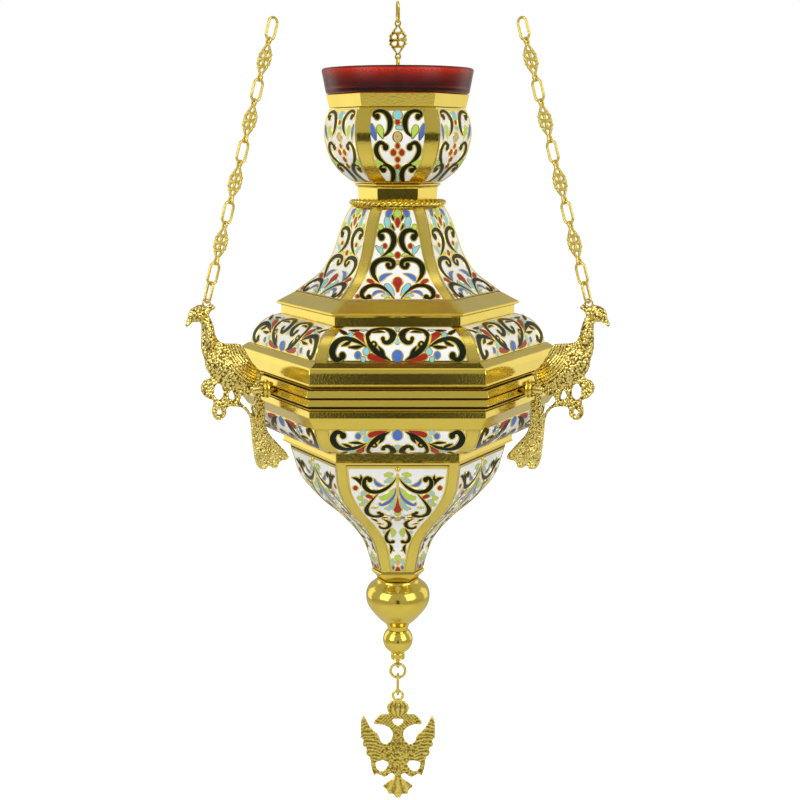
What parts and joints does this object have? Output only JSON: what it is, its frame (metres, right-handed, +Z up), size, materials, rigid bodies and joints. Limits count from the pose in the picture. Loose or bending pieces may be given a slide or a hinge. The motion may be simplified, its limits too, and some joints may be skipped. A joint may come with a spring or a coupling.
{
  "type": "hanging vigil lamp",
  "caption": "Hanging vigil lamp with a faceted gilt body in enamelled tiers, a red glass cup on top, bird brackets on chains and a heraldic eagle pendant below.",
  "frame": {"origin": "on the axis of the lamp, level with the ends of the two front chains, where the lamp is held up", "axes": "+Z up along the axis, -Y out of the front enamelled face, +X to the right seen from the front"},
  "size_m": [0.211, 0.1976, 0.4479],
  "materials": {
    "gilt": "polished gilt",
    "cast_gilt": "satin gilt casting",
    "enamel": "glossy vitreous enamel with coloured cells between gilt wires",
    "red_glass": "clear glass stained deep red"
  },
  "bodies": {
    "lamp_body": {"girdle": "gilt", "upper_band_frame": "gilt", "upper_band_enamel_front": "enamel", "upper_band_enamel_front_right": "enamel", "upper_band_enamel_back_right": "enamel", "upper_band_enamel_back": "enamel", "upper_band_enamel_back_left": "enamel", "upper_band_enamel_front_left": "enamel", "lower_band_frame": "gilt", "lower_band_enamel_front": "enamel", "lower_band_enamel_front_right": "enamel", "lower_band_enamel_back_right": "enamel", "lower_band_enamel_back": "enamel", "lower_band_enamel_back_left": "enamel", "lower_band_enamel_front_left": "enamel", "bell_frame": "gilt", "bell_enamel_front": "enamel", "bell_enamel_front_right": "enamel", "bell_enamel_back_right": "enamel", "bell_enamel_back": "enamel", "bell_enamel_back_left": "enamel", "bell_enamel_front_left": "enamel", "bowl_frame": "gilt", "bowl_enamel_front": "enamel", "bowl_enamel_front_right": "enamel", "bowl_enamel_back_right": "enamel", "bowl_enamel_back": "enamel", "bowl_enamel_back_left": "enamel", "bowl_enamel_front_left": "enamel", "taper_frame": "gilt", "taper_enamel_front": "enamel", "taper_enamel_front_right": "enamel", "taper_enamel_back_right": "enamel", "taper_enamel_back": "enamel", "taper_enamel_back_left": "enamel", "taper_enamel_front_left": "enamel", "cornice": "gilt", "neck_ring": "gilt", "collar": "gilt", "lower_cornice": "gilt", "base_cup": "gilt", "finial_bulb": "gilt", "finial_ball": "gilt", "tie_rod": "gilt", "tie_nut": "gilt", "rope_ring": "cast_gilt", "bird_back": "cast_gilt", "bird_socket_back": "gilt", "chain_back": "gilt", "bird_front_left": "cast_gilt", "bird_socket_front_left": "gilt", "chain_front_left": "gilt", "bird_front_right": "cast_gilt", "bird_socket_front_right": "gilt", "chain_front_right": "gilt"},
    "glass": {"glass_cup": "red_glass"},
    "ring": {"pendant_ring": "cast_gilt"},
    "link": {"pendant_link": "cast_gilt"},
    "eagle_pendant": {"eagle": "cast_gilt"}
  },
  "joints": [
    {"name": "glass_lift", "type": "slide", "parent": "lamp_body", "child": "glass", "axis": [0, 0, 1], "range_m": [0, 0.05]},
    {"name": "ring_swing", "type": "hinge", "parent": "lamp_body", "child": "ring", "pos_m": [0, 0, -0.34841], "axis": [1, 0, 0], "range_deg": [-50, 50]},
    {"name": "link_swing", "type": "hinge", "parent": "ring", "child": "link", "pos_m": [0, 0, -0.35291], "axis": [0, 1, 0], "range_deg": [-35, 35]},
    {"name": "eagle_swing", "type": "hinge", "parent": "link", "child": "eagle_pendant", "pos_m": [0, 0, -0.36416], "axis": [1, 0, 0], "range_deg": [-30, 30]}
  ]
}
